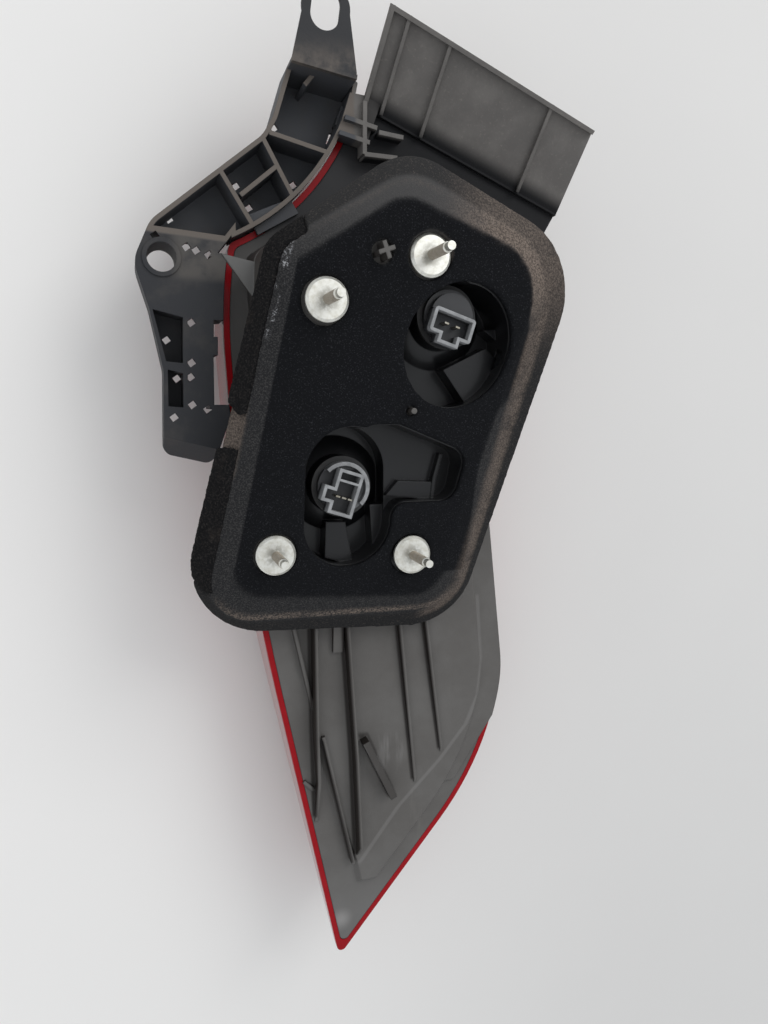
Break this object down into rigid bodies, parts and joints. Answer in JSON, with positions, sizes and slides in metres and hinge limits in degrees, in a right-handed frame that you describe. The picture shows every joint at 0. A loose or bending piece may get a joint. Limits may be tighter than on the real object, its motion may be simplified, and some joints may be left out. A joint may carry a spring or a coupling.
{
  "type": "tail light cluster",
  "caption": "Rear half of a car tail lamp: red lens, grey ribbed housing, foam gasket pierced for studs and bulb holders, and a ribbed plastic side bracket with a tray.",
  "frame": {"origin": "top of the flange of the upper left stud, on the stud's axis", "axes": "+Z along the studs, away from the lens; +Y along the lamp towards the bracket end; the lens faces -Z"},
  "size_m": [0.2381, 0.5303, 0.145],
  "materials": {
    "lens_red": "moulded, glossy",
    "housing_grey": "satin, dusty",
    "reflector_silver": "metallised",
    "foam_black": "open cell foam, dusty edges",
    "zinc_plate": "zinc plated",
    "bracket_black": "grained, dusty",
    "holder_black": "satin",
    "connector_grey": "satin",
    "seal_rubber": "matt",
    "contact_brass": "tinned",
    "bulb_glass": "clear",
    "filament_wire": "bare wire"
  },
  "bodies": {
    "root": {"outer_lens": "lens_red", "lamp_housing": "housing_grey", "reflector": "reflector_silver", "foam_gasket": "foam_black", "foam_strip_upper": "foam_black", "foam_strip_lower": "foam_black", "mounting_studs": "zinc_plate", "mounting_bracket": "bracket_black", "upper_bulb_holder": "holder_black", "upper_connector": "connector_grey", "upper_holder_seal": "seal_rubber", "upper_terminals": "contact_brass", "upper_bulb": "bulb_glass", "upper_filament": "filament_wire", "lower_bulb_holder": "connector_grey", "lower_holder_seal": "seal_rubber", "lower_terminals": "contact_brass", "lower_bulb": "bulb_glass", "lower_filament": "filament_wire"}
  },
  "joints": []
}
